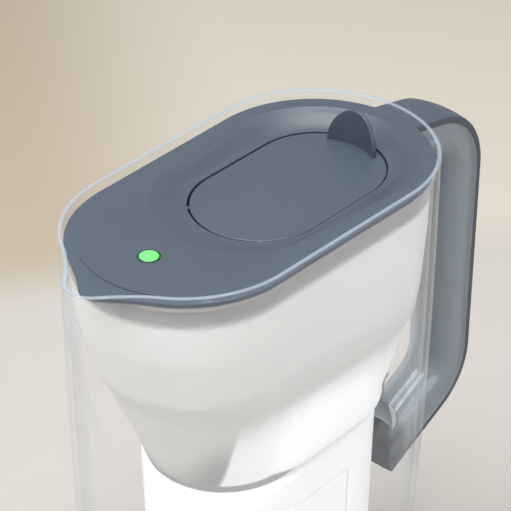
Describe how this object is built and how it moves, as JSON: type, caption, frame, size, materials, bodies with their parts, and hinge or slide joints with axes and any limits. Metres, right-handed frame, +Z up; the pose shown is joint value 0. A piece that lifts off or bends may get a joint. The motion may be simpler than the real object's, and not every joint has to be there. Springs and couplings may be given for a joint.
{
  "type": "water filter pitcher",
  "caption": "Clear oval jug with a hanging filter funnel and cartridge, a handle with a fitted cover, and a recessed lid with a hinged filling flap.",
  "frame": {"origin": "middle of the base, on the surface that the jug stands on", "axes": "+Z up, -X towards the spout, +X towards the handle, Y across the jug"},
  "size_m": [0.2486, 0.105, 0.277],
  "materials": {
    "jug": "clear glossy moulded plastic with a pale blue tint",
    "handle_insert": "satin blue-grey moulding",
    "funnel": "translucent frosted white moulding",
    "filter_shell": "white moulding",
    "filter_media": "granule bed",
    "filter_screen": "fine white mesh",
    "lid": "satin blue-grey moulding",
    "flip_lid": "satin blue-grey moulding",
    "indicator_lens": "translucent green light guide",
    "indicator_case": "white moulding",
    "indicator_seal": "soft grey rubber",
    "indicator_board": "green laminate",
    "board_parts": "black moulded parts",
    "indicator_led": "clear diode",
    "coin_cell": "bright nickel",
    "battery_clip": "spring steel",
    "reset_button": "blue-grey button",
    "cover_screws": "bright steel"
  },
  "bodies": {
    "jug": {"jug": "jug", "handle_insert": "handle_insert"},
    "funnel": {"funnel": "funnel"},
    "filter": {"filter_body": "filter_shell", "filter_cap": "filter_shell", "filter_media": "filter_media", "filter_top_screen": "filter_screen", "filter_bottom_screen": "filter_screen"},
    "lid": {"lid": "lid", "indicator_lens": "indicator_lens", "indicator_housing": "indicator_case", "indicator_cover": "indicator_case", "indicator_seal": "indicator_seal", "indicator_board": "indicator_board", "indicator_led": "indicator_led", "controller_chip": "board_parts", "tilt_switch": "board_parts", "button_switch": "board_parts", "coin_cell": "coin_cell", "battery_clip": "battery_clip", "cover_screws": "cover_screws"},
    "flap": {"flip_lid": "flip_lid"},
    "button": {"reset_button": "reset_button"}
  },
  "joints": [
    {"name": "funnel_lift", "type": "slide", "parent": "jug", "child": "funnel", "axis": [0, 0, 1], "range_m": [0, 0.22]},
    {"name": "filter_lift", "type": "slide", "parent": "funnel", "child": "filter", "axis": [0, 0, 1], "range_m": [0, 0.05]},
    {"name": "lid_lift", "type": "slide", "parent": "funnel", "child": "lid", "axis": [0, 0, 1], "range_m": [0, 0.06]},
    {"name": "flap_hinge", "type": "hinge", "parent": "lid", "child": "flap", "pos_m": [-0.0145, 0, 0.2596], "axis": [0, -1, 0], "range_deg": [0, 85]},
    {"name": "reset_press", "type": "slide", "parent": "lid", "child": "button", "axis": [0, 0, 1], "range_m": [0, 0.0008], "stiffness_N_per_m": 400}
  ]
}
